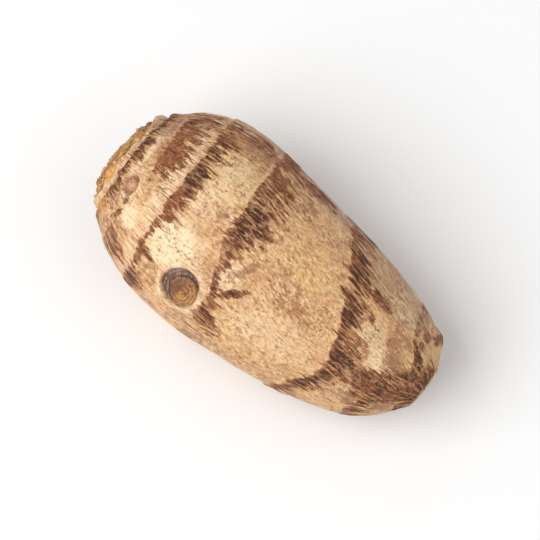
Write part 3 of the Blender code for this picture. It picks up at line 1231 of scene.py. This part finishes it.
def dry_finish(name, dark_colour, middle_colour, pale_colour):
    """Matt and fibrous: the tone of each blade picks its colour, and noise along it varies that."""
    r = Recipe(name)
    patchy = r.noise(r.object_place(), (1.2 * MM,) * 3, 3.0, 0.6)
    strand = r.noise(r.attribute("strand", "Vector"), (0.35, 2.2, 1.0), 3.0, 0.6)
    tone = r.torn(r.attribute("tone"), (patchy, 1.2), (strand, 1.6))
    colour = r.ramp(tone, ((0.15, dark_colour), (0.5, middle_colour), (0.85, pale_colour)))
    r.put(r.shader.inputs["Base Color"], colour)
    r.shader.inputs["Roughness"].default_value = 0.8
    r.shader.inputs["Specular IOR Level"].default_value = 0.3
    r.put(r.shader.inputs["Normal"], r.bump(strand, 0.3 * MM))
    return r.material


# %% Loose bark fibres
FIBRES = 340
TRIES = 9000
CLEAR_OF_FLOOR = 5.0
draw = np.random.default_rng(77)
rows_tried = draw.integers(20, ROWS - 20, TRIES)
columns_tried = draw.integers(0, COLUMNS, TRIES)
kept = bark[rows_tried, columns_tried] > draw.uniform(0.35, 0.9, TRIES)
kept &= placed[rows_tried, columns_tried, 2] > CLEAR_OF_FLOOR
rows_kept, columns_kept = rows_tried[kept][:FIBRES], columns_tried[kept][:FIBRES]
count = len(rows_kept)
t = np.linspace(0, 1, 9)[None, :]
long = draw.uniform(3.5, 9.0, count)[:, None]
fibre_out = arc[rows_kept] - 0.4 * long + t * long
lean = draw.normal(0, 0.10, count)[:, None] + GRAIN_TWIST * 22 * rise(fibre_out, 60, 90)
fibre_angle = angle[0, columns_kept][:, None] + lean * (t - 0.4) * long / 24
fibre_angle = fibre_angle + draw.uniform(0.0, 0.02, count)[:, None] * np.sin(math.tau * (t + 0.3))
loose = draw.uniform(0.0, 0.34, count)[:, None] ** 2
fibre_lift = 0.03 + loose * 3 * t**2
slender = np.sin(math.pi * (0.08 + 0.86 * t)) ** 0.6  # narrow at both ends
fibre_width = draw.uniform(0.10, 0.26, count)[:, None] * slender
bark_fibres = blades(
    "bark_fibres", fibre_out, fibre_angle, fibre_lift, fibre_width, 0.35 * fibre_width,
    draw.uniform(0.1, 0.9, count), corners=5,
)
bark_fibres.data.materials.append(dry_finish("dry_fibre", BARK, RUST, BUFF))
lowest_fibre = min(vertex.co.z for vertex in bark_fibres.data.vertices)
print("fibres:", count, "- lowest point, mm:", round(lowest_fibre / MM, 1))

# %% Papery scraps at the crown
SCRAPS = (
    # mm out from the crown, degrees round, width mm, length mm, lift of the free end mm, tone
    (21.6, 51, 8.0, 2.2, 0.4, 0.40),
    (16.4, 30, 8.0, 1.9, 0.4, 0.63),
    (14.4, 2, 12.0, 1.6, 0.35, 0.58),
    (16.4, -40, 9.0, 1.6, 0.3, 0.38),
    (12.2, -14, 10.0, 1.8, 0.4, 0.48),
    (12.4, 34, 8.0, 1.8, 0.4, 0.33),
    (14.5, -66, 9.0, 1.8, 0.4, 0.23),
    (13.5, 72, 9.0, 3.0, 0.6, 0.28),
    (15.5, 95, 13.0, 3.5, 0.9, 0.38),
    (17.0, 140, 12.0, 3.5, 0.9, 0.20),
    (14.0, 185, 14.0, 3.2, 0.8, 0.38),
    (16.5, 232, 12.0, 3.5, 0.9, 0.28),
    (9.0, 20, 9.0, 2.4, 0.4, 0.38),
    (9.5, 110, 8.0, 2.4, 0.5, 0.23),
    (8.5, 200, 9.0, 2.6, 0.7, 0.43),
    (9.5, -70, 8.0, 2.4, 0.4, 0.28),
    (4.6, 60, 4.0, 2.6, 0.8, 0.28),
    (4.6, 180, 4.0, 2.6, 1.0, 0.38),
    (4.6, 300, 4.0, 2.6, 0.8, 0.20),
)
SCRAP_HALF_THICK = 0.12
at_out, at_round, wide, long, raised, tone = (np.array(row)[:, None] for row in zip(*SCRAPS))
t = np.linspace(0, 1, 14)[None, :]
scrap_out = at_out - long * (1 - t)
wavy = 1 + 0.10 * np.sin(7 * t + at_round)
scrap_width = wide / 2 * np.sin(math.pi / 2 * (0.12 + 0.88 * t)) ** 0.28 * wavy
scrap_lift = raised * (1 - t) ** 1.2 - 0.15 + 0.10 * np.sin(9 * t + 2 * at_round) * (1 - t)
scrap_angle = np.radians(at_round + SHOW_LINE) + 0 * t
crown_scraps = blades(
    "crown_scraps", scrap_out, scrap_angle, scrap_lift, scrap_width,
    np.full_like(scrap_out, SCRAP_HALF_THICK), tone[:, 0], corners=30, ragged=0.28,
)
crown_scraps.data.materials.append(dry_finish("dry_paper", SCURF, OCHRE, STRAW))
for piece in (bark_fibres, crown_scraps):
    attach(piece, "root")
print("scraps:", len(SCRAPS))

# %% [markdown]
# ## Floor, light and camera
#
# The corm lies alone on a pale seamless floor. A large soft lamp stands to the left of the
# camera and an even pale surround fills the shadows. The camera looks down at the corm with the
# crown away to the upper left, with a long lens so that the shape isn't stretched.

# %% The floor
FLOOR_LEVEL = -0.00005  # a hair below zero, where the pressed underside is
bpy.ops.mesh.primitive_plane_add(size=6.0, location=(0, 0, FLOOR_LEVEL))
floor = bpy.context.object
floor.name = "floor"
floor_finish = Recipe("pale_floor")
floor_finish.shader.inputs["Base Color"].default_value = (0.90, 0.90, 0.90, 1.0)
floor_finish.shader.inputs["Roughness"].default_value = 0.9
floor.data.materials.append(floor_finish.material)

# %% The camera
VIEW_AZIMUTH = math.radians(37.6)
VIEW_ELEVATION = math.radians(72.7)
VIEW_DISTANCE = 0.9
LENS = 212.0


def towards(azimuth, elevation):
    """The direction from the corm to something that stands at this azimuth and height in the sky."""
    flat = math.cos(elevation)
    return np.array([math.sin(azimuth) * flat, -math.cos(azimuth) * flat, math.sin(elevation)])


def aim(thing, place, target):
    """Puts a camera or lamp at a place and turns it to look at the target."""
    thing.location = place
    thing.rotation_euler = Vector(target - place).to_track_quat("-Z", "Y").to_euler()


target = (low + high) / 2
camera = linked("camera", bpy.data.cameras.new("camera"))
camera.data.lens = LENS
camera.data.clip_end = 20.0
aim(camera, target + VIEW_DISTANCE * towards(VIEW_AZIMUTH, VIEW_ELEVATION), target)
bpy.context.scene.camera = camera

# %% The light


def soft_lamp(name, azimuth, elevation, distance, size, power):
    """A square lamp that shines at the corm. Angles are in degrees, lengths in m, power in W."""
    lamp = linked(name, bpy.data.lights.new(name, "AREA"))
    lamp.data.size = size
    lamp.data.energy = power
    aim(lamp, target + distance * towards(math.radians(azimuth), math.radians(elevation)), target)


soft_lamp("key_lamp", azimuth=-30.0, elevation=52.0, distance=1.3, size=1.1, power=14.5)
soft_lamp("fill_lamp", azimuth=110.0, elevation=50.0, distance=1.6, size=1.6, power=4.0)
world = bpy.data.worlds.new("pale_surround")
world.use_nodes = True
surround = world.node_tree.nodes["Background"]
surround.inputs["Color"].default_value = (1.0, 1.0, 1.0, 1.0)
surround.inputs["Strength"].default_value = 0.5
bpy.context.scene.world = world
bpy.context.scene.view_settings.view_transform = "Standard"
